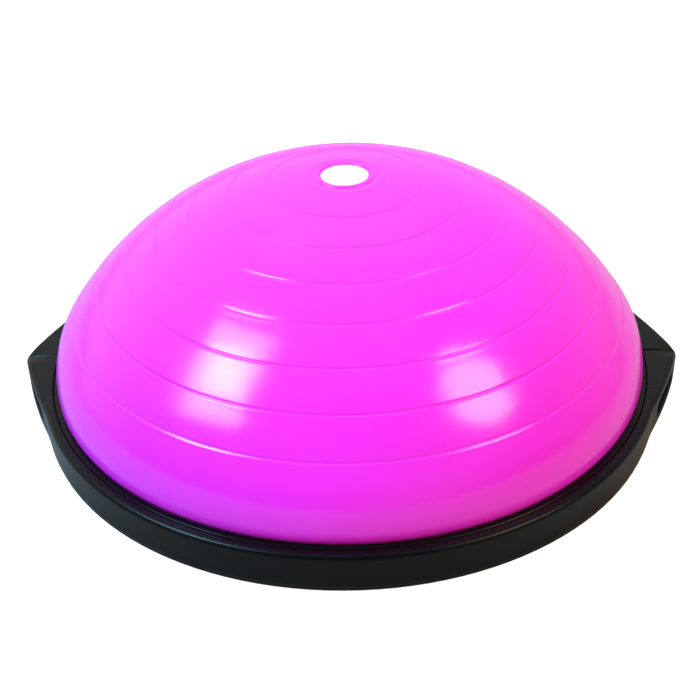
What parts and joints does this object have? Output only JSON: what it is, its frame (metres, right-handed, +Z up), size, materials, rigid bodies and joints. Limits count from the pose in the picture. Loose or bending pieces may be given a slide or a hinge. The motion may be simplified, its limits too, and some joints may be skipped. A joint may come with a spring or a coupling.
{
  "type": "balance dome trainer",
  "caption": "Air-filled half-ball dome with ring grooves, clamped into a round flat platform with two finger-grip ears and a pull-out air plug.",
  "frame": {"origin": "on the floor, under the dome's centre, in the plane of the foot pads' lower faces", "axes": "+Z up through the dome's centre, +X towards one hand-hold ear, -Y towards the front, +Y towards the air valve"},
  "size_m": [0.648, 0.5998, 0.2324],
  "materials": {
    "base_plastic": "fine moulded texture",
    "rim_plastic": "satin moulded",
    "dome_pvc": "glossy soft PVC",
    "valve_pvc": "soft PVC",
    "plug_plastic": "smooth moulded",
    "label_vinyl": "smooth vinyl, blank",
    "screw_steel": "zinc plated",
    "pad_rubber": "matt rubber"
  },
  "bodies": {
    "trainer": {"platform_base": "base_plastic", "platform_deck": "base_plastic", "dome_bladder": "dome_pvc", "clamp_ring": "rim_plastic", "rim_front": "rim_plastic", "rim_rear": "rim_plastic", "clamp_screws": "screw_steel", "deck_screws": "screw_steel", "valve_socket": "valve_pvc", "dome_label": "label_vinyl", "foot_pad_1": "pad_rubber", "foot_pad_2": "pad_rubber", "foot_pad_3": "pad_rubber", "foot_pad_4": "pad_rubber", "foot_pad_5": "pad_rubber", "foot_pad_6": "pad_rubber", "foot_pad_7": "pad_rubber", "foot_pad_8": "pad_rubber"},
    "air_plug": {"air_plug": "plug_plastic"}
  },
  "joints": [
    {"name": "plug_pull", "type": "slide", "parent": "trainer", "child": "air_plug", "axis": [0, 0.9231, 0.3846], "range_m": [0, 0.025]}
  ]
}
